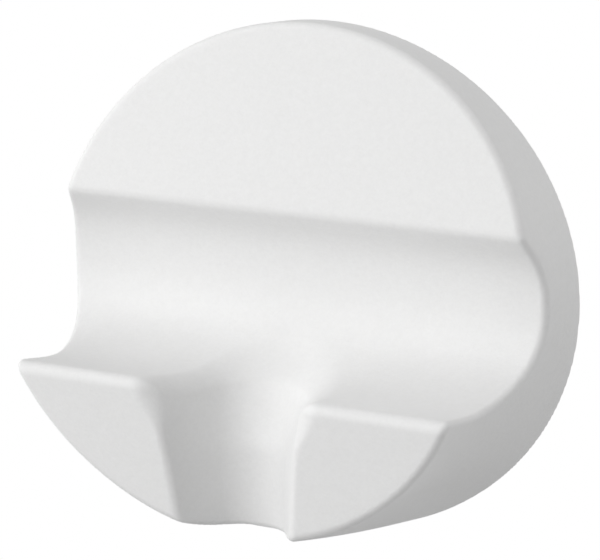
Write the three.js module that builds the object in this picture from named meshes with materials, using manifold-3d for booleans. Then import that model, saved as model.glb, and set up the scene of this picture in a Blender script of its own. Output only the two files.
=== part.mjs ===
import * as THREE from "three";
import { mergeVertices } from "three/addons/utils/BufferGeometryUtils.js";
import Module from "manifold-3d";

// A magnetic hook: a round moulded puck that magnets hold against a steel wall. A trough runs
// across its front, and a notch between two prongs takes the neck of whatever hangs there.
// Millimetres, +Z up, +X to the right as seen from the front. The wall is the plane y = 0, the
// front faces -Y, and a depth is a distance from the wall, so y = -depth.

const wasm = await Module();
wasm.setup();

// Layers from the wall outwards
const padThickness = 1.2;
const padProud = 0.4;
const filmThickness = 0.2;
const coverThickness = 1.8;
const pocketFloor = 0.6;
const magnetThickness = 3;
const yokeThickness = 1;

// Outline of the shell, a circle that shrinks and rises as it comes forward. The rise levels off,
// and the wall is fuller under the prongs, with a soft channel below the notch.
const backRadius = 30;
const frontRadius = 27.5;
const flareDepth = 31.3;
const riseAngle = 17.4;
const riseDepth = 46;
const fullness = 1.33;
const fullFrom = 48.6;
const fullTo = 76;
const channelShare = 0.73;
const channelInner = 1.5;
const channelOuter = 7;
const channelStart = 8;
const channelEnd = 18;

// Front of the shell. Reaches are measured from the rim, heights from the middle of the back.
const creaseReach = 12.1;
const creaseHeight = 11;
const faceLean = 18.3;
const troughReach = 8.15;
const troughHeight = 1.9;
const troughEntry = 32;
const seatReach = 18;
const seatHeight = -6.1;
const lipReach = 28.6;
const lipHeight = -4;
const lipAngle = 12.5;
const prongLean = 6.9;

// How far the trough's curve holds its direction at each of those points
const creaseHold = 3;
const troughHoldAbove = 5.4;
const troughHoldBelow = 4.7;
const seatHoldBehind = 7;
const seatHoldAhead = 3;
const lipHold = 3.8;

// Notch between the prongs: a rounded V that narrows downwards, and opens into the trough with a
// wide round that goes further back than sideways
const notchHalfWidth = 7.9;
const notchHeight = -20;
const notchFlare = 3.3;
const notchWallAngle = 33;
const notchReach = 19.3;
const saddleDrop = 6.4;
const saddleBack = 5.6;
const saddleSide = 1.8;

// Walls of the shell
const frontWall = 2;
const sideWall = 2.6;
const rimWall = 2.7;
const bossRadius = 2.6;

// Magnets, yoke and screws. The shares are of the cover's radius, so these keep to the cover.
const magnetShare = 0.26;
const magnetSpread = 0.44;
const pocketWall = 1;
const pocketLip = 0.6;
const yokeShare = 0.7;
const edgeBreak = 0.25;
const screwMargin = 4.1;
const screwRadius = 1.1;
const threadDepth = 0.25;
const threadPitch = 0.9;
const screwLength = 6.4;
const headRadius = 2;
const headHeight = 1.1;
const recessWidth = 0.55;
const recessDepth = 0.7;

// Clearances
const coverClearance = 0.2;
const padClearance = 0.3;
const magnetClearance = 0.15;
const screwClearance = 0.2;
const holeRunout = 0.4;

// Facets
const outlineSides = 80;
const outlineRings = 15;
const roundSides = 40;
const screwSides = 16;
const curveSteps = 10;
const notchSteps = 10;
const saddleSteps = 6;

// Depths of the layers
const rimDepth = padProud;
const filmDepth = padThickness;
const coverDepth = filmDepth + filmThickness;
const coverFront = coverDepth + coverThickness;
const magnetDepth = coverDepth + pocketFloor;
const yokeDepth = magnetDepth + magnetThickness;
const pocketFront = yokeDepth - pocketLip;
const seatRadius = backRadius - rimWall;
const coverRadius = seatRadius - coverClearance;
const padRadius = seatRadius - padClearance;
const magnetRadius = coverRadius * magnetShare;
const magnetCircle = coverRadius * magnetSpread;
const yokeRadius = coverRadius * yokeShare;
const screwCircle = coverRadius - screwMargin;
const lipDepth = rimDepth + lipReach;
const overrun = 2;
const frontLimit = lipDepth + overrun;
const beyond = 2 * backRadius;

const radians = THREE.MathUtils.degToRad;

const shellPlastic = new THREE.MeshStandardMaterial({ color: 0xf3f3f2, roughness: 0.55, metalness: 0 });
const coverPlastic = new THREE.MeshStandardMaterial({ color: 0xe4e4e2, roughness: 0.6, metalness: 0 });
const silicone = new THREE.MeshStandardMaterial({ color: 0xd7d8d8, roughness: 0.8, metalness: 0 });
const adhesive = new THREE.MeshStandardMaterial({ color: 0xcfc8b4, roughness: 0.5, metalness: 0 });
const nickel = new THREE.MeshStandardMaterial({ color: 0xc9c6c0, roughness: 0.22, metalness: 1 });
const zincSteel = new THREE.MeshStandardMaterial({ color: 0xb4b8bc, roughness: 0.38, metalness: 1 });

// A closed geometry as a solid that can be joined and cut.
function solidOf(geometry) {
  const bare = geometry.clone();
  bare.deleteAttribute("normal");
  bare.deleteAttribute("uv");
  const merged = mergeVertices(bare, 1e-4);
  return new wasm.Manifold(
    new wasm.Mesh({
      numProp: 3,
      vertProperties: new Float32Array(merged.attributes.position.array),
      triVerts: new Uint32Array(merged.index.array),
    }),
  );
}

// A finished solid as geometry again.
function geometryOf(solid) {
  const mesh = solid.getMesh();
  const geometry = new THREE.BufferGeometry();
  geometry.setAttribute("position", new THREE.BufferAttribute(mesh.vertProperties, 3));
  geometry.setIndex(new THREE.BufferAttribute(mesh.triVerts, 1));
  geometry.computeVertexNormals();
  return geometry;
}

// A skin over rings of points that all turn the same way, with flat ends.
function loft(rings) {
  const count = rings[0].length;
  const last = (rings.length - 1) * count;
  const index = [];
  for (let start = 0; start < last; start += count) {
    for (let i = 0; i < count; i++) {
      const next = (i + 1) % count;
      index.push(start + i, start + next, start + count + next);
      index.push(start + i, start + count + next, start + count + i);
    }
  }
  for (let i = 1; i + 1 < count; i++) {
    index.push(0, i + 1, i);
    index.push(last, last + i, last + i + 1);
  }
  const geometry = new THREE.BufferGeometry().setFromPoints(rings.flat());
  geometry.setIndex(index);
  return geometry;
}

// A round piece on an axis square to the wall, between two depths.
function disc(radius, from, to, x = 0, z = 0, sides = roundSides, farRadius = radius) {
  const geometry = new THREE.CylinderGeometry(radius, farRadius, to - from, sides);
  return geometry.translate(x, -(from + to) / 2, z);
}

// The shell's round outline, drawn in by a wall's thickness.
function outline(inset, from, to) {
  const rings = [];
  for (let ring = 0; ring < outlineRings; ring++) {
    const depth = THREE.MathUtils.lerp(from, to, ring / (outlineRings - 1));
    const reach = depth - rimDepth;
    const eased = 1 - THREE.MathUtils.clamp(reach / flareDepth, 0, 1);
    const round = frontRadius + (backRadius - frontRadius) * eased ** 2;
    const centre = Math.tan(radians(riseAngle)) * reach * (1 - reach / (2 * riseDepth));
    const along = THREE.MathUtils.clamp(reach / lipReach, 0, 1);
    const channel = channelShare * THREE.MathUtils.smoothstep(reach, channelStart, channelEnd);
    const points = [];
    for (let side = 0; side < outlineSides; side++) {
      const turn = (2 * Math.PI * side) / outlineSides;
      const low = THREE.MathUtils.smoothstep(
        -Math.sin(turn),
        Math.sin(radians(fullFrom)),
        Math.sin(radians(fullTo)),
      );
      const aside = Math.abs(round * Math.cos(turn));
      const open = 1 - channel * (1 - THREE.MathUtils.smoothstep(aside, channelInner, channelOuter));
      const radius = round + fullness * 4 * along * (1 - along) * low * open - inset;
      points.push(
        new THREE.Vector3(radius * Math.cos(turn), -depth, centre + radius * Math.sin(turn)),
      );
    }
    rings.push(points);
  }
  return solidOf(loft(rings));
}

// Everything behind a line that runs down the front, drawn in the plane of depth and height and
// carried across the full width. The inset moves the line back by a wall's thickness.
function behind(line, inset) {
  const outward = line.slice(1).map((point, i) => {
    const along = point.clone().sub(line[i]).normalize();
    return new THREE.Vector2(-along.y, along.x);
  });
  const moved = line.map((point, i) => {
    const above = outward[Math.max(i - 1, 0)];
    const below = outward[Math.min(i, outward.length - 1)];
    const mitre = above.clone().add(below).divideScalar(1 + above.dot(below));
    return point.clone().sub(mitre.multiplyScalar(inset));
  });
  const shape = new THREE.Shape(moved);
  const low = Math.min(-beyond, moved[moved.length - 1].y);
  const high = Math.max(beyond, moved[0].y);
  shape.lineTo(moved[moved.length - 1].x, low);
  shape.lineTo(-beyond, low);
  shape.lineTo(-beyond, high);
  shape.lineTo(moved[0].x, high);
  const geometry = new THREE.ExtrudeGeometry(shape, { depth: 2 * beyond, bevelEnabled: false });
  const across = new THREE.Matrix4().makeBasis(
    new THREE.Vector3(0, -1, 0),
    new THREE.Vector3(0, 0, 1),
    new THREE.Vector3(-1, 0, 0),
  );
  across.setPosition(beyond, 0, 0);
  return solidOf(geometry.applyMatrix4(across));
}

// A direction in the plane of depth and height, turned up from straight ahead.
function heading(degrees) {
  return new THREE.Vector2(Math.cos(radians(degrees)), Math.sin(radians(degrees)));
}

function ahead(point, degrees, distance) {
  return point.clone().add(heading(degrees).multiplyScalar(distance));
}

const crease = new THREE.Vector2(rimDepth + creaseReach, creaseHeight);
const troughBack = new THREE.Vector2(rimDepth + troughReach, troughHeight);
const seat = new THREE.Vector2(rimDepth + seatReach, seatHeight);
const lip = new THREE.Vector2(lipDepth, lipHeight);
const down = -90;

const pastCrease = ahead(crease, down + faceLean, creaseHold);
const faceLine = [
  ahead(crease, 90 + faceLean, beyond),
  pastCrease,
  ahead(pastCrease, 0, beyond),
];
const prongLine = [
  ahead(lip, 90 - prongLean, beyond),
  ahead(lip, down - prongLean, beyond),
];
const troughLine = [
  ahead(crease, 90 - troughEntry, beyond),
  ...new THREE.CubicBezierCurve(
    crease,
    ahead(crease, down - troughEntry, creaseHold),
    ahead(troughBack, 90, troughHoldAbove),
    troughBack,
  ).getPoints(curveSteps),
  ...new THREE.CubicBezierCurve(
    troughBack,
    ahead(troughBack, down, troughHoldBelow),
    ahead(seat, 180, seatHoldBehind),
    seat,
  )
    .getPoints(curveSteps)
    .slice(1),
  ...new THREE.CubicBezierCurve(
    seat,
    ahead(seat, 0, seatHoldAhead),
    ahead(lip, 180 + lipAngle, lipHold),
    lip,
  )
    .getPoints(curveSteps)
    .slice(1),
  ahead(lip, lipAngle, backRadius),
];

// The notch as a cutter. Its walls lean apart, its rounded bottom stays upright up to the saddle,
// and growing it leaves a wall of that thickness round the notch.
function notch(grow) {
  const lean = radians(notchWallAngle);
  const section = (height, opened) => {
    const half = notchHalfWidth + Math.tan(radians(notchFlare)) * (height - notchHeight);
    const apex = lipDepth - half / Math.tan(lean) - (grow + saddleSide * opened) / Math.sin(lean);
    const bottom = rimDepth + notchReach - grow - saddleBack * opened;
    const radius = (bottom - apex) / (1 / Math.sin(lean) - 1);
    const mouth = (frontLimit - apex) * Math.tan(lean);
    const points = [
      new THREE.Vector3(-mouth, -frontLimit, height),
      new THREE.Vector3(mouth, -frontLimit, height),
    ];
    for (let step = 0; step <= notchSteps; step++) {
      const turn = THREE.MathUtils.lerp(lean, Math.PI - lean, step / notchSteps);
      const depth = bottom + radius - radius * Math.sin(turn);
      points.push(new THREE.Vector3(radius * Math.cos(turn), -depth, height));
    }
    return points;
  };
  const rings = [section(-backRadius + overrun, 0)];
  for (let step = 0; step <= saddleSteps; step++) {
    const share = step / saddleSteps;
    const opened = 1 - Math.sqrt(1 - share ** 2);
    rings.push(section(seatHeight + (share - 1) * saddleDrop - grow, opened));
  }
  rings.push(section(troughHeight, 1));
  return solidOf(loft(rings));
}

// Moulded shell, hollow behind, with a seat for the cover and a boss for each screw
const front = [faceLine, troughLine, prongLine];
const trimmed = (body, inset) => front.reduce((rest, line) => rest.intersect(behind(line, inset)), body);
const block = trimmed(outline(0, rimDepth, frontLimit), 0).subtract(notch(0));
const hollow = trimmed(outline(sideWall, rimDepth - overrun, frontLimit), frontWall).subtract(
  notch(frontWall),
);
const screwDepth = coverDepth + screwLength;

const screwPlaces = {
  upper_left: [-1, 1],
  upper_right: [1, 1],
  lower_left: [-1, -1],
  lower_right: [1, -1],
};
const screwOffset = screwCircle / Math.SQRT2;

let shell = block.subtract(hollow).subtract(solidOf(disc(seatRadius, 0, coverFront, 0, 0, outlineSides)));
for (const [sideX, sideZ] of Object.values(screwPlaces)) {
  const x = sideX * screwOffset;
  const z = sideZ * screwOffset;
  const boss = solidOf(disc(bossRadius, coverFront, frontLimit, x, z, screwSides)).intersect(block);
  const pilot = disc(screwRadius + screwClearance, 0, screwDepth + holeRunout, x, z, screwSides);
  shell = shell.add(boss).subtract(solidOf(pilot));
}

// Back cover with a pocket for each magnet and a countersunk hole for each screw
const magnetPlaces = {
  top: [0, 1],
  bottom: [0, -1],
  left: [-1, 0],
  right: [1, 0],
};
const pocketRadius = magnetRadius + magnetClearance;

let cover = solidOf(disc(coverRadius, coverDepth, coverFront, 0, 0, outlineSides));
for (const [sideX, sideZ] of Object.values(magnetPlaces)) {
  const x = sideX * magnetCircle;
  const z = sideZ * magnetCircle;
  cover = cover.add(solidOf(disc(pocketRadius + pocketWall, magnetDepth, pocketFront, x, z)));
}
for (const [sideX, sideZ] of Object.values(magnetPlaces)) {
  const x = sideX * magnetCircle;
  const z = sideZ * magnetCircle;
  cover = cover.subtract(solidOf(disc(pocketRadius, magnetDepth, yokeDepth, x, z)));
}
for (const [sideX, sideZ] of Object.values(screwPlaces)) {
  const x = sideX * screwOffset;
  const z = sideZ * screwOffset;
  const hole = disc(screwRadius + screwClearance, 0, coverFront + overrun, x, z, screwSides);
  const sink = disc(
    headRadius + screwClearance,
    coverDepth,
    coverDepth + headHeight,
    x,
    z,
    screwSides,
    screwRadius + screwClearance,
  );
  cover = cover.subtract(solidOf(hole)).subtract(solidOf(sink));
}

// A disc with broken edges, for the magnets and the yoke, standing on the plane y = 0
function chamferedDisc(radius, thickness) {
  const profile = [
    [0, -thickness],
    [radius - edgeBreak, -thickness],
    [radius, -thickness + edgeBreak],
    [radius, -edgeBreak],
    [radius - edgeBreak, 0],
    [0, 0],
  ];
  return new THREE.LatheGeometry(
    profile.map(([r, y]) => new THREE.Vector2(r, y)),
    roundSides,
  );
}

// A countersunk self-tapping screw with a cross recess, its head flush with the plane y = 0
function screwGeometry() {
  const core = screwRadius - threadDepth;
  const profile = [
    [0, -screwLength],
    [core, -screwLength + screwRadius],
  ];
  const turns = Math.floor((screwLength - screwRadius - headHeight) / threadPitch);
  for (let turn = 0; turn < turns; turn++) {
    const start = -screwLength + screwRadius + turn * threadPitch;
    profile.push([screwRadius, start + threadPitch / 2], [core, start + threadPitch]);
  }
  profile.push([core, -headHeight - screwClearance], [screwRadius, -headHeight], [headRadius, 0], [0, 0]);
  const body = new THREE.LatheGeometry(
    profile.map(([r, y]) => new THREE.Vector2(r, y)),
    screwSides,
  );
  const long = new THREE.BoxGeometry(headRadius * 1.2, 2 * recessDepth, recessWidth);
  const wide = new THREE.BoxGeometry(recessWidth, 2 * recessDepth, headRadius * 1.2);
  return geometryOf(solidOf(body).subtract(solidOf(long)).subtract(solidOf(wide)));
}

const hook = new THREE.Group();

function place(name, geometry, material, x = 0, depth = 0, z = 0) {
  const mesh = new THREE.Mesh(geometry, material);
  mesh.name = name;
  mesh.position.set(x, -depth, z);
  hook.add(mesh);
}

place("hook_shell", geometryOf(shell), shellPlastic);
place("back_cover", geometryOf(cover), coverPlastic);
place("grip_pad", disc(padRadius, 0, padThickness, 0, 0, outlineSides), silicone);
place("pad_adhesive", disc(padRadius, filmDepth, coverDepth, 0, 0, outlineSides), adhesive);
place("yoke_plate", chamferedDisc(yokeRadius, yokeThickness), zincSteel, 0, yokeDepth, 0);
for (const [side, [sideX, sideZ]] of Object.entries(magnetPlaces)) {
  const geometry = chamferedDisc(magnetRadius, magnetThickness);
  place(`magnet_${side}`, geometry, nickel, sideX * magnetCircle, magnetDepth, sideZ * magnetCircle);
}
for (const [corner, [sideX, sideZ]] of Object.entries(screwPlaces)) {
  const geometry = screwGeometry();
  place(`screw_${corner}`, geometry, zincSteel, sideX * screwOffset, coverDepth, sideZ * screwOffset);
}

export default hook;
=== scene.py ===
import math
from itertools import product

import bpy
import numpy as np
from mathutils import Matrix, Vector


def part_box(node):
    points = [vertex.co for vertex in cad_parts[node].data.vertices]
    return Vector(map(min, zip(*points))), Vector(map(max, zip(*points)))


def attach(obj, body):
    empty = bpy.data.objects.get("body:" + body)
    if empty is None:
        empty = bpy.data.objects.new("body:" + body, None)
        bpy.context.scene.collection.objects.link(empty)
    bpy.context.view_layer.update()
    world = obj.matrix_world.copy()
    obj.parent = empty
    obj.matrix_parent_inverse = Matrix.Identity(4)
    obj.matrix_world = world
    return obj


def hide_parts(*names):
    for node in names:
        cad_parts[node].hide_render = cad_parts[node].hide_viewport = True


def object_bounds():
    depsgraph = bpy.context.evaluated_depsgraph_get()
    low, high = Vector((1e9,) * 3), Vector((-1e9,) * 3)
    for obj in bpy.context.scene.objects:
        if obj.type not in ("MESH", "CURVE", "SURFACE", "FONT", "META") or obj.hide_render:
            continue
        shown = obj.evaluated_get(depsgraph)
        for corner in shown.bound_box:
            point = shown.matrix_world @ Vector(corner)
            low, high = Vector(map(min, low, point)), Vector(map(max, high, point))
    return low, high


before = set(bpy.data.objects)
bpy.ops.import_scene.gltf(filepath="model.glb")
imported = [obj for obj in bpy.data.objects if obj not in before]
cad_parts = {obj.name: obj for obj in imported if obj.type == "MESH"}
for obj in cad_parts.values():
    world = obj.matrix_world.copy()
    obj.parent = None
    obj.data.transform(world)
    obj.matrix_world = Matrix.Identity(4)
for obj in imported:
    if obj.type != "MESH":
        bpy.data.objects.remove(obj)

cadBox = [list(corner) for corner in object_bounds()]
mm = 0.001  # the shapes below are drawn in millimetres, as the part is
print("frame loaded")


# One socket of a node tree, so that sums and products read as plain maths
class Wire:
    def __init__(self, tree, socket=None):
        self.tree = tree
        self.socket = socket

    def node(self, kind, settings=None, sockets=None, out=0):
        made = self.tree.nodes.new(kind)
        for name, value in (settings or {}).items():
            setattr(made, name, value)
        for name, value in (sockets or {}).items():
            if isinstance(value, Wire):
                self.tree.links.new(value.socket, made.inputs[name])
            else:
                made.inputs[name].default_value = value
        return Wire(self.tree, made.outputs[out] if len(made.outputs) else None)

    def maths(self, operation, *others):
        return self.node("ShaderNodeMath", {"operation": operation}, dict(enumerate((self, *others))))

    def __add__(self, other):
        return self.maths("ADD", other)

    def __sub__(self, other):
        return self.maths("SUBTRACT", other)

    def __mul__(self, other):
        return self.maths("MULTIPLY", other)

    def __truediv__(self, other):
        return self.maths("DIVIDE", other)

    def __pow__(self, other):
        return self.maths("POWER", other)

    def __neg__(self):
        return self.maths("MULTIPLY", -1.0)

    def __radd__(self, other):
        return self.maths("ADD", other)

    def __rmul__(self, other):
        return self.maths("MULTIPLY", other)

    def __rsub__(self, other):
        return self.maths("MULTIPLY", -1.0).maths("ADD", other)

    def __rtruediv__(self, other):
        return self.maths("POWER", -1.0).maths("MULTIPLY", other)

    def __rpow__(self, other):
        return self.maths("MULTIPLY", math.log(other)).maths("EXPONENT")


# A material that starts with its object's own coordinates
def startMaterial(name):
    material = bpy.data.materials.new(name)
    material.use_nodes = True
    material.node_tree.nodes.clear()
    tree = Wire(material.node_tree)
    return material, tree, tree.node("ShaderNodeTexCoord", out="Object")


def endMaterial(tree, settings):
    surface = tree.node("ShaderNodeBsdfPrincipled", sockets=settings)
    tree.node("ShaderNodeOutputMaterial", sockets={"Surface": surface})


def noise(tree, place, scale, detail=2.0, roughness=0.5):
    return tree.node(
        "ShaderNodeTexNoise",
        {"noise_dimensions": "3D"},
        {"Vector": place, "Scale": scale, "Detail": detail, "Roughness": roughness},
        "Fac",
    )


def blendColours(tree, amount, first, second):
    return tree.node(
        "ShaderNodeMix",
        {"data_type": "RGBA", "blend_type": "MIX"},
        {0: amount, 6: (*first, 1.0), 7: (*second, 1.0)},
        2,
    )


def bumped(tree, height, strength, distance):
    sockets = {"Strength": strength, "Distance": distance, "Height": height}
    return tree.node("ShaderNodeBump", sockets=sockets, out="Normal")


# The moulded shell. Reaches are from the rim, heights from the middle of the back.
hookForm = {
    "frontRadius": 27.5,
    "flareDepth": 31.3,
    "riseAngle": 17.4,
    "riseDepth": 46.0,
    "fullness": 1.33,
    "fullFrom": 48.6,
    "fullTo": 76.0,
    "fullReach": 27.0,
    "channelShare": 0.9,
    "channelWidth": (1.5, 7.0),
    "channelReach": (8.0, 18.0),
    "crease": (12.1, 11.0),
    "faceLean": 18.3,
    "faceFoot": 5.0,
    "troughBack": (8.15, 1.9),
    "troughEntry": 32.0,
    "seat": (18.0, -6.1),
    "lipHeight": -3.85,
    "lipAngle": 12.5,
    "prongLean": 6.9,
    "holds": (3.0, 5.4, 4.7, 7.0, 3.0, 3.8),
    "notchHalfWidth": 7.85,
    "notchHeight": -20.0,
    "notchFlare": 1.8,
    "notchWallAngle": 29.5,
    "notchReach": 19.3,
    "notchFootMargin": 2.0,
    "saddle": (-14.5, -2.0),
    "saddleWallAngle": 6.0,
    "saddleReach": 11.8,
    "saddleRetreat": 0.15,
    "frontWall": 2.0,
    "sideWall": 2.6,
    "coverReach": 2.8,
    "seatGap": 0.2,
    "seatRound": 0.15,
    "bossRadius": 2.6,
    "holeRadius": 1.3,
    "holeRunout": 0.4,
    "edgeRound": 0.8,
    "creaseRound": 0.42,
    "lipRound": 1.6,
    "notchRound": 0.55,
    "cornerRound": 2.6,
    "cornerHeights": (-10.5, -5.0),
    "rimRound": 0.45,
    "rimSpread": 0.06,
    "innerRound": 0.5,
    "spacing": 0.36,
    "keptFaces": 185000,
    "hiddenDepth": 1.0,
    "curveSteps": 60,
    "tableStep": 0.08,
}
shellBox = [np.array(corner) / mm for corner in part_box("hook_shell")]
coverBox = [np.array(corner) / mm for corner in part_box("back_cover")]
screwBoxes = [
    [np.array(corner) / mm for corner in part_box(name)]
    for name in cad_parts
    if name.startswith("screw_")
]
rimDepth = -shellBox[1][1]
lipDepth = -shellBox[0][1]
backRadius = shellBox[1][0] + hookForm["rimSpread"]
seatRadius = coverBox[1][0] + hookForm["seatGap"]
coverFront = rimDepth + hookForm["coverReach"]
notchFoot = -backRadius + hookForm["notchFootMargin"]


def heading(degrees):
    return np.array((math.cos(math.radians(degrees)), math.sin(math.radians(degrees))))


def bezier(start, startHold, endHold, end, steps):
    t = np.linspace(0.0, 1.0, steps + 1)[:, None]
    return (
        (1 - t) ** 3 * start + 3 * (1 - t) ** 2 * t * startHold + 3 * (1 - t) * t**2 * endHold + t**3 * end
    )


# The trough's line in the plane of depth and height, from above the crease to beyond the lip
def troughPoints(form):
    fromRim = np.array((rimDepth, 0.0))
    crease = fromRim + form["crease"]
    back = fromRim + form["troughBack"]
    seat = fromRim + form["seat"]
    lip = np.array((lipDepth, form["lipHeight"]))
    holds = form["holds"]
    entry = heading(-90 - form["troughEntry"])
    leave = heading(form["lipAngle"])
    steps = form["curveSteps"]
    return np.vstack(
        (
            crease - entry * 3 * backRadius,
            bezier(crease, crease + entry * holds[0], back + (0, holds[1]), back, steps),
            bezier(back, back - (0, holds[2]), seat - (holds[3], 0), seat, steps)[1:],
            bezier(seat, seat + (holds[4], 0), lip - leave * holds[5], lip, steps)[1:],
            lip + leave * 3 * backRadius,
        )
    )


trough = troughPoints(hookForm)


# Distance from the trough's line, above zero in the open air
def troughDistance(depth, height):
    depth, height = np.broadcast_arrays(depth, height)
    nearest = np.full(depth.shape, np.inf)
    side = np.zeros(depth.shape)
    for start, end in zip(trough[:-1], trough[1:]):
        along = end - start
        fromDepth = depth - start[0]
        fromHeight = height - start[1]
        share = np.clip((fromDepth * along[0] + fromHeight * along[1]) / (along @ along), 0.0, 1.0)
        gap = (fromDepth - share * along[0]) ** 2 + (fromHeight - share * along[1]) ** 2
        closer = gap < nearest
        nearest = np.where(closer, gap, nearest)
        side = np.where(closer, along[0] * fromHeight - along[1] * fromDepth, side)
    return np.sqrt(nearest) * np.sign(side)


# The overlap of two solids with their shared edge rounded
def roundedOverlap(first, second, radius):
    over = np.hypot(np.maximum(first + radius, 0.0), np.maximum(second + radius, 0.0))
    return np.minimum(np.maximum(first, second), -radius) + over


def ease(value, start, end):
    share = np.clip((value - start) / (end - start), 0.0, 1.0)
    return share * share * (3.0 - 2.0 * share)


# Distance from the front: face, trough and prongs, which are the same all the way across
def frontDistance(depth, height, form=hookForm):
    leaned = math.radians(form["faceLean"])
    creaseDepth = rimDepth + form["crease"][0]
    above = height - form["crease"][1]
    face = (depth - creaseDepth) * math.cos(leaned) + above * math.sin(leaned)
    face = np.minimum(face, above + form["faceFoot"])
    leaned = math.radians(form["prongLean"])
    prong = (depth - lipDepth) * math.cos(leaned) - (height - form["lipHeight"]) * math.sin(leaned)
    scoop = roundedOverlap(troughDistance(depth, height), face, form["creaseRound"])
    return roundedOverlap(scoop, prong, form["lipRound"])


tableStep = hookForm["tableStep"]
tableStart = np.array((-3.0, shellBox[0][2] - 4.0))
tableCount = np.ceil((np.array((lipDepth, shellBox[1][2])) + 4.0 - tableStart) / tableStep).astype(int)
frontTable = frontDistance(
    (tableStart[0] + tableStep * np.arange(tableCount[0]))[:, None],
    (tableStart[1] + tableStep * np.arange(tableCount[1]))[None, :],
)
print("front drawn:", frontTable.shape)


def frontAt(depth, height):
    depth, height = np.broadcast_arrays(depth, height)
    across = np.clip((depth - tableStart[0]) / tableStep, 0.0, tableCount[0] - 1.001)
    upward = np.clip((height - tableStart[1]) / tableStep, 0.0, tableCount[1] - 1.001)
    i, j = across.astype(int), upward.astype(int)
    across, upward = across - i, upward - j
    lower = frontTable[i, j] * (1.0 - across) + frontTable[i + 1, j] * across
    upper = frontTable[i, j + 1] * (1.0 - across) + frontTable[i + 1, j + 1] * across
    return lower * (1.0 - upward) + upper * upward


# Distance from the round wall, which flares to the back and is fuller under the prongs
def wallDistance(x, depth, z, form=hookForm):
    reach = depth - rimDepth
    rise = math.tan(math.radians(form["riseAngle"]))
    eased = 1.0 - np.clip(reach / form["flareDepth"], 0.0, 1.0)
    flare = backRadius - form["frontRadius"]
    above = z - rise * reach * (1.0 - reach / (2.0 * form["riseDepth"]))
    away = np.maximum(np.hypot(x, above), 1e-6)
    along = np.clip(reach / form["fullReach"], 0.0, 1.0)
    fullFrom, fullTo = (math.sin(math.radians(form[name])) for name in ("fullFrom", "fullTo"))
    low = ease(-above / away, fullFrom, fullTo)
    channel = form["channelShare"] * ease(reach, *form["channelReach"])
    channel = channel * (1.0 - ease(np.abs(x), *form["channelWidth"]))
    full = form["fullness"] * 4.0 * along * (1.0 - along) * low * (1.0 - channel)
    slope = rise * (1.0 - reach / form["riseDepth"]) * above / away
    slope = slope - 2.0 * flare * eased / form["flareDepth"]
    return (away - form["frontRadius"] - flare * eased**2 - full) / np.sqrt(1.0 + slope**2)


# A cut across the notch at one height: a V with a round bottom that widens to a U in the saddle
def notchSection(x, depth, z, form=hookForm):
    opened = ease(z, *form["saddle"])
    lean = np.radians(form["notchWallAngle"] + (form["saddleWallAngle"] - form["notchWallAngle"]) * opened)
    taper = math.tan(math.radians(form["notchFlare"]))
    half = form["notchHalfWidth"] + taper * (np.maximum(z, notchFoot) - form["notchHeight"])
    apex = lipDepth - half / np.tan(lean)
    bottom = rimDepth + form["notchReach"] + (form["saddleReach"] - form["notchReach"]) * opened
    bottom = bottom + form["saddleRetreat"] * np.maximum(z - form["saddle"][1], 0.0) ** 2
    bend = (bottom - apex) / (1.0 / np.sin(lean) - 1.0)
    aside = np.abs(x)
    behind = bottom + bend - depth
    return np.where(
        behind > aside * np.tan(lean),
        np.hypot(aside, behind) - bend,
        aside * np.cos(lean) - (depth - apex) * np.sin(lean),
    )


# Distance from the notch, below zero in the open air
def notchDistance(x, depth, z, step=0.1):
    slope = (notchSection(x, depth, z + step) - notchSection(x, depth, z - step)) / (2.0 * step)
    return notchSection(x, depth, z) / np.sqrt(1.0 + slope**2)


# How far the notch's edges are rounded: little down the prongs, more round their tops and the saddle
def notchEdge(z, form=hookForm):
    return form["notchRound"] + (form["cornerRound"] - form["notchRound"]) * ease(z, *form["cornerHeights"])


# Distance from the round wall, and from the whole outside of the body
def outside(x, depth, z, form=hookForm):
    wall = wallDistance(x, depth, z)
    body = roundedOverlap(wall, frontAt(depth, z), form["edgeRound"])
    return wall, roundedOverlap(body, -notchDistance(x, depth, z), notchEdge(z))


# Distance from the shell's surface, below zero inside the plastic
def shellField(x, y, z, form=hookForm):
    depth = -y
    wall, body = outside(x, depth, z)
    hollow = roundedOverlap(wall + form["sideWall"], body + form["frontWall"], form["innerRound"])
    body = roundedOverlap(body, rimDepth - depth, form["rimRound"])
    seat = roundedOverlap(np.hypot(x, z) - seatRadius, depth - coverFront, form["seatRound"])
    shell = np.maximum(body, -np.minimum(hollow, seat))
    for low, high in screwBoxes:
        middle = (low + high) / 2.0
        fromScrew = np.hypot(x - middle[0], z - middle[2])
        boss = np.maximum(np.maximum(fromScrew - form["bossRadius"], coverFront - depth), body)
        pilot = np.maximum(fromScrew - form["holeRadius"], depth + low[1] - form["holeRunout"])
        shell = np.maximum(np.minimum(shell, boss), -pilot)
    return shell


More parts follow.
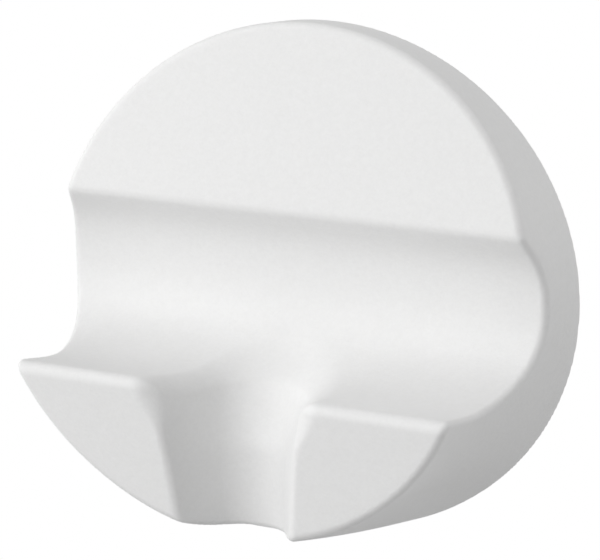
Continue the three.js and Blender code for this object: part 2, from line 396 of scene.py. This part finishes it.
# Points and four-sided faces where a field on a grid goes through zero
def surfaceNet(field, corner, spacing):
    size = [count - 1 for count in field.shape]
    inside = field < 0.0
    total = np.zeros((*size, 3))
    crossings = np.zeros(size)
    for axis, first, second in product(range(3), (0, 1), (0, 1)):
        shift = [0, 0, 0]
        shift[(axis + 1) % 3], shift[(axis + 2) % 3] = first, second
        low = field[tuple(slice(s, s + n) for s, n in zip(shift, size))]
        shift[axis] = 1
        high = field[tuple(slice(s, s + n) for s, n in zip(shift, size))]
        cross = (low < 0.0) != (high < 0.0)
        share = np.where(cross, low / np.where(cross, low - high, 1.0), 0.0)
        total[..., axis] += share
        total[..., (axis + 1) % 3] += first * cross
        total[..., (axis + 2) % 3] += second * cross
        crossings += cross
    active = crossings > 0
    number = np.full(size, -1)
    number[active] = np.arange(np.count_nonzero(active))
    points = corner + spacing * (np.argwhere(active) + total[active] / crossings[active][:, None])
    quads = []
    for axis in range(3):
        low = np.take(inside, range(size[axis]), axis)
        high = np.take(inside, range(1, size[axis] + 1), axis)
        edges = np.argwhere(low != high)
        around = []
        for first, second in ((-1, -1), (0, -1), (0, 0), (-1, 0)):
            cell = edges.copy()
            cell[:, (axis + 1) % 3] += first
            cell[:, (axis + 2) % 3] += second
            around.append(number[tuple(cell.T)])
        quad = np.stack(around, 1)
        backward = ~low[tuple(edges.T)]
        quad[backward] = quad[backward][:, ::-1]
        quads.append(quad)
    return points, np.vstack(quads)


def fieldSlope(points, step=0.02):
    slope = np.empty_like(points)
    for axis in range(3):
        shift = np.zeros(3)
        shift[axis] = step
        slope[:, axis] = shellField(*(points + shift).T) - shellField(*(points - shift).T)
    return slope / np.maximum(np.linalg.norm(slope, axis=1), 1e-9)[:, None]


# The points moved onto the surface
def settled(points, limit=0.3):
    return points - fieldSlope(points) * np.clip(shellField(*points.T), -limit, limit)[:, None]


def newPiece(name, mesh, material):
    piece = bpy.data.objects.new(name, mesh)
    bpy.context.scene.collection.objects.link(piece)
    if material:
        mesh.materials.clear()
        mesh.materials.append(material)
    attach(piece, "root")
    return piece


# Fewer faces in the hollow, which the cover hides
def thinned(points, quads, kept):
    mesh = bpy.data.meshes.new("denseShell")
    mesh.from_pydata(points.tolist(), [], quads.tolist())
    dense = bpy.data.objects.new("denseShell", mesh)
    bpy.context.scene.collection.objects.link(dense)
    x, y, z = points.T
    hidden = outside(x, -y, z)[1] < -hookForm["hiddenDepth"]
    hollow = dense.vertex_groups.new(name="hollow")
    hollow.add(np.flatnonzero(hidden).tolist(), 1.0, "REPLACE")
    modifier = dense.modifiers.new("thin", "DECIMATE")
    modifier.vertex_group = hollow.name
    modifier.ratio = min(1.0, kept / (2.0 * len(quads)))
    bpy.context.view_layer.update()
    graph = bpy.context.evaluated_depsgraph_get()
    made = bpy.data.meshes.new_from_object(dense.evaluated_get(graph), depsgraph=graph)
    dense.modifiers.clear()
    bpy.data.objects.remove(dense)
    bpy.data.meshes.remove(mesh)
    made.name = "hookShellMesh"
    return made


def buildShell(material):
    spacing = hookForm["spacing"]
    corner = shellBox[0] - 1.5 * spacing
    counts = np.ceil((shellBox[1] - shellBox[0]) / spacing).astype(int) + 4
    x, y, z = (corner[axis] + spacing * np.arange(counts[axis]) for axis in range(3))
    field = shellField(x[:, None, None], y[None, :, None], z[None, None, :])
    points, quads = surfaceNet(field, corner, spacing)
    points = settled(settled(points))
    print("shell meshed:", len(quads), "quads")
    mesh = thinned(points, quads, hookForm["keptFaces"])
    points = np.empty(len(mesh.vertices) * 3)
    mesh.vertices.foreach_get("co", points)
    points = settled(points.reshape(-1, 3))
    slope = fieldSlope(points)
    mesh.vertices.foreach_set("co", (np.clip(points, shellBox[0], shellBox[1]) * mm).ravel())
    mesh.update()
    mesh.polygons.foreach_set("use_smooth", np.ones(len(mesh.polygons), dtype=bool))
    mesh.normals_split_custom_set_from_vertices(slope.tolist())
    print("shell thinned:", len(mesh.polygons), "faces")
    piece = newPiece("hookShell", mesh, material)
    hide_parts("hook_shell")


# White moulded plastic with a fine spark-eroded grain
shellPlastic = {
    "colour": (0.874, 0.874, 0.871),
    "shade": (0.838, 0.837, 0.834),
    "roughness": 0.6,
    "grain": 3400.0,
    "grainHeight": 0.00005,
}


def makeShellPlastic(look=shellPlastic):
    material, tree, place = startMaterial("shellPlastic")
    grain = noise(tree, place, look["grain"], 3.0, 0.6)
    cloud = noise(tree, place, 60.0, 3.0)
    speck = noise(tree, place, look["grain"] * 0.45, 2.0)
    tint = (grain - 0.5) * 1.6 + (speck - 0.5) * 1.2 + cloud * 0.4 + 0.3
    height = grain * 0.5 + speck * 0.5
    endMaterial(
        tree,
        {
            "Base Color": blendColours(tree, tint, look["shade"], look["colour"]),
            "Roughness": look["roughness"] + (grain - 0.5) * 0.2 + (cloud - 0.5) * 0.1,
            "IOR": 1.46,
            "Specular IOR Level": 0.3,
            "Normal": bumped(tree, height, 0.6, look["grainHeight"]),
        },
    )
    return material


# Plain moulded plastic of the cover, with faint flow marks
def makeCoverPlastic():
    material, tree, place = startMaterial("coverPlastic")
    flow = noise(tree, place, 220.0, 4.0)
    grain = noise(tree, place, 5200.0, 2.0)
    endMaterial(
        tree,
        {
            "Base Color": blendColours(tree, flow, (0.76, 0.76, 0.75), (0.82, 0.82, 0.81)),
            "Roughness": 0.5 + flow * 0.15 + (grain - 0.5) * 0.15,
            "Normal": bumped(tree, grain, 0.3, 0.00002),
        },
    )
    return material


def makeSilicone():
    material, tree, place = startMaterial("padSilicone")
    cloud = noise(tree, place, 150.0, 4.0)
    grain = noise(tree, place, 4200.0, 2.0)
    dust = noise(tree, place, 900.0, 5.0, 0.7).maths("GREATER_THAN", 0.66)
    tint = cloud * 0.8 + dust * 0.35
    endMaterial(
        tree,
        {
            "Base Color": blendColours(tree, tint, (0.62, 0.63, 0.635), (0.74, 0.745, 0.745)),
            "Roughness": 0.62 + (cloud - 0.5) * 0.2 + (grain - 0.5) * 0.15,
            "Specular IOR Level": 0.35,
            "Sheen Weight": 0.1,
            "Normal": bumped(tree, grain * 0.6 + cloud * 0.4, 0.3, 0.00003),
        },
    )
    return material


def makeFilm():
    material, tree, place = startMaterial("adhesiveFilm")
    fibre = noise(tree, place, 1300.0, 5.0, 0.65)
    endMaterial(
        tree,
        {
            "Base Color": blendColours(tree, fibre, (0.6, 0.56, 0.44), (0.7, 0.66, 0.55)),
            "Roughness": 0.35 + fibre * 0.3,
            "Normal": bumped(tree, fibre, 0.3, 0.00002),
        },
    )
    return material


# Bright plated metal: a dark and a light tone, rolled lines along x and a few scuffs
def makePlating(name, dark, light, roughness, lines):
    material, tree, place = startMaterial(name)
    drawn = tree.node("ShaderNodeMapping", sockets={"Vector": place, "Scale": (0.03, 1.0, 1.0)})
    rolled = noise(tree, drawn, lines, 3.0, 0.6)
    cloud = noise(tree, place, 350.0, 4.0)
    tint = rolled * 0.5 + cloud * 0.5
    endMaterial(
        tree,
        {
            "Base Color": blendColours(tree, tint, dark, light),
            "Metallic": 1.0,
            "Roughness": roughness + (rolled - 0.5) * 0.2 + (cloud - 0.5) * 0.12,
            "Normal": bumped(tree, rolled, 0.25, 0.00001),
        },
    )
    return material


# The pad's grip face: round studs in staggered rows on a thin sheet with a plain margin
gripPad = {
    "studHeight": 0.3,
    "studRadius": 0.85,
    "studTop": 0.6,
    "pitch": 2.6,
    "margin": 1.6,
    "edgeRound": 0.3,
    "sides": 120,
}


# A sheet turned about the y axis, with its outer edges rounded
def padSheet(radius, back, front, edge, sides):
    profile = []
    for step in range(5):
        turn = math.radians(22.5 * step)
        profile.append((radius - edge + edge * math.sin(turn), back - edge + edge * math.cos(turn)))
    for step in range(5):
        turn = math.radians(22.5 * step)
        profile.append((radius - edge + edge * math.cos(turn), front + edge - edge * math.sin(turn)))
    points = [(0.0, back * mm, 0.0), (0.0, front * mm, 0.0)]
    faces = []
    rings = []
    for r, y in profile:
        ring = []
        for side in range(sides):
            turn = 2.0 * math.pi * side / sides
            ring.append(len(points))
            points.append((r * math.cos(turn) * mm, y * mm, r * math.sin(turn) * mm))
        rings.append(ring)
    for side in range(sides):
        following = (side + 1) % sides
        faces.append((0, rings[0][following], rings[0][side]))
        faces.append((1, rings[-1][side], rings[-1][following]))
        for upper, lower in zip(rings[:-1], rings[1:]):
            faces.append((upper[side], upper[following], lower[following], lower[side]))
    mesh = bpy.data.meshes.new("padSheetMesh")
    mesh.from_pydata(points, [], faces)
    mesh.update()
    mesh.polygons.foreach_set("use_smooth", np.ones(len(faces), dtype=bool))
    return mesh


# Studs on every place of a staggered grid that lies inside the margin, joined to the sheet
def studTree(material):
    group = bpy.data.node_groups.new("padStuds", "GeometryNodeTree")
    group.interface.new_socket("Sheet", in_out="INPUT", socket_type="NodeSocketGeometry")
    sizes = ("Reach", "Pitch", "Stud Radius", "Stud Top", "Stud Height", "Back")
    for name in sizes:
        group.interface.new_socket(name, in_out="INPUT", socket_type="NodeSocketFloat")
    group.interface.new_socket("Pad", in_out="OUTPUT", socket_type="NodeSocketGeometry")
    tree = Wire(group)
    entry = group.nodes.new("NodeGroupInput")
    given = {socket.name: Wire(group, socket) for socket in entry.outputs if socket.name}
    span = given["Reach"] * 2.4
    count = (span / given["Pitch"]).maths("FLOOR") + 1.0
    gridSizes = {"Size X": span, "Size Y": span, "Vertices X": count, "Vertices Y": count}
    grid = tree.node("GeometryNodeMeshGrid", {}, gridSizes)
    place = tree.node("GeometryNodeInputPosition")
    split = tree.node("ShaderNodeSeparateXYZ", {}, {0: place})
    across = Wire(group, split.socket.node.outputs[0])
    upward = Wire(group, split.socket.node.outputs[1])
    row = (upward / given["Pitch"] + 200.25).maths("FLOOR")
    shifted = across + row.maths("MODULO", 2.0) * given["Pitch"] * 0.5
    moved = tree.node("ShaderNodeCombineXYZ", {}, {0: shifted, 1: given["Back"], 2: upward * 0.866})
    rows = tree.node("GeometryNodeSetPosition", {}, {"Geometry": grid, "Position": moved})
    placed = tree.node("GeometryNodeInputPosition")
    flat = tree.node("ShaderNodeVectorMath", {"operation": "MULTIPLY"}, {0: placed, 1: (1.0, 0.0, 1.0)})
    distance = tree.node("ShaderNodeVectorMath", {"operation": "LENGTH"}, {0: flat}, "Value")
    beyond = distance.maths("GREATER_THAN", given["Reach"])
    kept = tree.node(
        "GeometryNodeDeleteGeometry", {"domain": "POINT"}, {"Geometry": rows, "Selection": beyond}
    )
    stud = tree.node(
        "GeometryNodeMeshCone",
        {"fill_type": "NGON"},
        {
            "Vertices": 20,
            "Side Segments": 1,
            "Radius Top": given["Stud Top"],
            "Radius Bottom": given["Stud Radius"],
            "Depth": given["Stud Height"],
        },
    )
    studs = tree.node(
        "GeometryNodeInstanceOnPoints",
        {},
        {"Points": kept, "Instance": stud, "Rotation": (math.radians(-90.0), 0.0, 0.0)},
    )
    joined = group.nodes.new("GeometryNodeJoinGeometry")
    group.links.new(studs.socket, joined.inputs[0])
    group.links.new(given["Sheet"].socket, joined.inputs[0])
    real = tree.node("GeometryNodeRealizeInstances", {}, {"Geometry": Wire(group, joined.outputs[0])})
    dressed = tree.node("GeometryNodeSetMaterial", {}, {"Geometry": real, "Material": material})
    tree.node("NodeGroupOutput", {}, {0: dressed})
    return group


def buildPad(material):
    low, high = (np.array(corner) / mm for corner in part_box("grip_pad"))
    sheetBack = high[1] - gripPad["studHeight"]
    mesh = padSheet(high[0], sheetBack, low[1], gripPad["edgeRound"], gripPad["sides"])
    sheet = bpy.data.objects.new("padSheet", mesh)
    bpy.context.scene.collection.objects.link(sheet)
    group = studTree(material)
    modifier = sheet.modifiers.new("studs", "NODES")
    modifier.node_group = group
    values = {
        "Reach": high[0] - gripPad["margin"] - gripPad["studRadius"],
        "Pitch": gripPad["pitch"],
        "Stud Radius": gripPad["studRadius"],
        "Stud Top": gripPad["studTop"],
        "Stud Height": gripPad["studHeight"],
        "Back": sheetBack,
    }
    for socket in group.interface.items_tree:
        if socket.name in values:
            modifier[socket.identifier] = float(values[socket.name] * mm)
    bpy.context.view_layer.update()
    graph = bpy.context.evaluated_depsgraph_get()
    made = bpy.data.meshes.new_from_object(sheet.evaluated_get(graph), depsgraph=graph)
    sheet.modifiers.clear()
    bpy.data.objects.remove(sheet)
    made.name = "gripPadMesh"
    piece = newPiece("gripPad", made, material)
    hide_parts("grip_pad")
    print("pad made:", len(made.polygons), "faces")


buildShell(makeShellPlastic())
buildPad(makeSilicone())

# The carried nodes keep their shapes and take a finish each
nodeFinishes = {
    "back_cover": makeCoverPlastic(),
    "pad_adhesive": makeFilm(),
    "yoke_plate": makePlating("yokeZinc", (0.42, 0.43, 0.44), (0.62, 0.63, 0.64), 0.36, 1800.0),
    "magnet_": makePlating("magnetNickel", (0.56, 0.55, 0.52), (0.7, 0.69, 0.66), 0.2, 900.0),
    "screw_": makePlating("screwZinc", (0.46, 0.47, 0.48), (0.66, 0.67, 0.68), 0.32, 2600.0),
}
for nodeName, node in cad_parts.items():
    for start, finish in nodeFinishes.items():
        if nodeName.startswith(start):
            node.data.materials.clear()
            node.data.materials.append(finish)
print("finishes set")

# Studio: a plain floor just below the hook, white to the eye, and soft lamps all round
studio = {
    "floorDrop": 0.02,
    "floorSize": 4.0,
    "floorColour": (0.5, 0.5, 0.5),
    "world": 0.35,
    "lamps": {
        "keyLamp": {"place": (-0.45, -0.65, 0.45), "size": 0.45, "power": 3.0},
        "leftLamp": {"place": (-0.8, -0.3, 0.15), "size": 0.5, "power": 1.5},
        "rightLamp": {"place": (0.68, 0.42, 0.06), "size": 0.5, "power": 2.5},
        "lowLamp": {"place": (-0.1, -0.8, -0.03), "size": 0.3, "power": 2.0},
        "topLamp": {"place": (0.0, -0.1, 0.85), "size": 0.5, "power": 0.9},
    },
}


# How much of the white background shows, for the eye, reflections and clear pieces alike
def seenDirectly(tree):
    path = tree.node("ShaderNodeLightPath").socket.node
    rays = ("Is Camera Ray", "Is Glossy Ray", "Is Transmission Ray")
    camera, glossy, clear = (Wire(tree.tree, path.outputs[name]) for name in rays)
    return camera.maths("MAXIMUM", glossy).maths("MAXIMUM", clear)


def buildStudio():
    half = studio["floorSize"] / 2.0
    level = cadBox[0][2] - studio["floorDrop"]
    mesh = bpy.data.meshes.new("floorMesh")
    corners = [(-half, -half, level), (half, -half, level), (half, half, level), (-half, half, level)]
    mesh.from_pydata(corners, [], [(0, 1, 2, 3)])
    floor = bpy.data.objects.new("floor", mesh)
    bpy.context.scene.collection.objects.link(floor)
    material = bpy.data.materials.new("floorPaper")
    material.use_nodes = True
    material.node_tree.nodes.clear()
    tree = Wire(material.node_tree)
    paper = tree.node("ShaderNodeBsdfDiffuse", {}, {"Color": (*studio["floorColour"], 1.0)})
    glow = tree.node("ShaderNodeEmission", {}, {"Color": (1.0, 1.0, 1.0, 1.0), "Strength": 1.0})
    shown = tree.node("ShaderNodeMixShader", {}, {0: seenDirectly(tree), 1: paper, 2: glow})
    tree.node("ShaderNodeOutputMaterial", {}, {"Surface": shown})
    mesh.materials.append(material)

    world = bpy.data.worlds.new("studioWorld")
    bpy.context.scene.world = world
    world.use_nodes = True
    world.node_tree.nodes.clear()
    tree = Wire(world.node_tree)
    seen = seenDirectly(tree)
    strength = seen + (1.0 - seen) * studio["world"]
    air = tree.node("ShaderNodeBackground", {}, {"Color": (1.0, 1.0, 1.0, 1.0), "Strength": strength})
    tree.node("ShaderNodeOutputWorld", {}, {"Surface": air})

    middle = Vector((0.0, -0.012, 0.0))
    for name, lamp in studio["lamps"].items():
        light = bpy.data.lights.new(name, "AREA")
        light.energy = lamp["power"]
        light.size = lamp["size"]
        holder = bpy.data.objects.new(name, light)
        holder.location = lamp["place"]
        holder.rotation_euler = (middle - Vector(lamp["place"])).to_track_quat("-Z", "Y").to_euler()
        bpy.context.scene.collection.objects.link(holder)
    print("studio lit")


# Camera: turned about the hook, measured from the photograph
viewpoint = {
    "azimuth": 24.7045,
    "elevation": 17.6758,
    "roll": -0.8514,
    "distance": 266.76,
    "aim": (1.68, -12.4, 3.55),
    "lens": 146.0,
}


def placeCamera(view=viewpoint):
    around, upward, roll = (math.radians(view[name]) for name in ("azimuth", "elevation", "roll"))
    back = Vector(
        (math.sin(around) * math.cos(upward), -math.cos(around) * math.cos(upward), math.sin(upward))
    )
    level = Vector((0.0, 0.0, 1.0)).cross(back).normalized()
    upright = back.cross(level)
    right = level * math.cos(roll) + upright * math.sin(roll)
    up = upright * math.cos(roll) - level * math.sin(roll)
    lens = bpy.data.cameras.new("photoCamera")
    lens.lens = view["lens"]
    lens.sensor_width = 36.0
    lens.sensor_fit = "HORIZONTAL"
    lens.clip_start = 0.01
    camera = bpy.data.objects.new("photoCamera", lens)
    turned = Matrix((right, up, back)).transposed().to_4x4()
    turned.translation = (Vector(view["aim"]) + back * view["distance"]) * mm
    camera.matrix_world = turned
    bpy.context.scene.collection.objects.link(camera)
    bpy.context.scene.camera = camera


buildStudio()
placeCamera()
bpy.context.scene.view_settings.view_transform = "Standard"

print("hook ready")
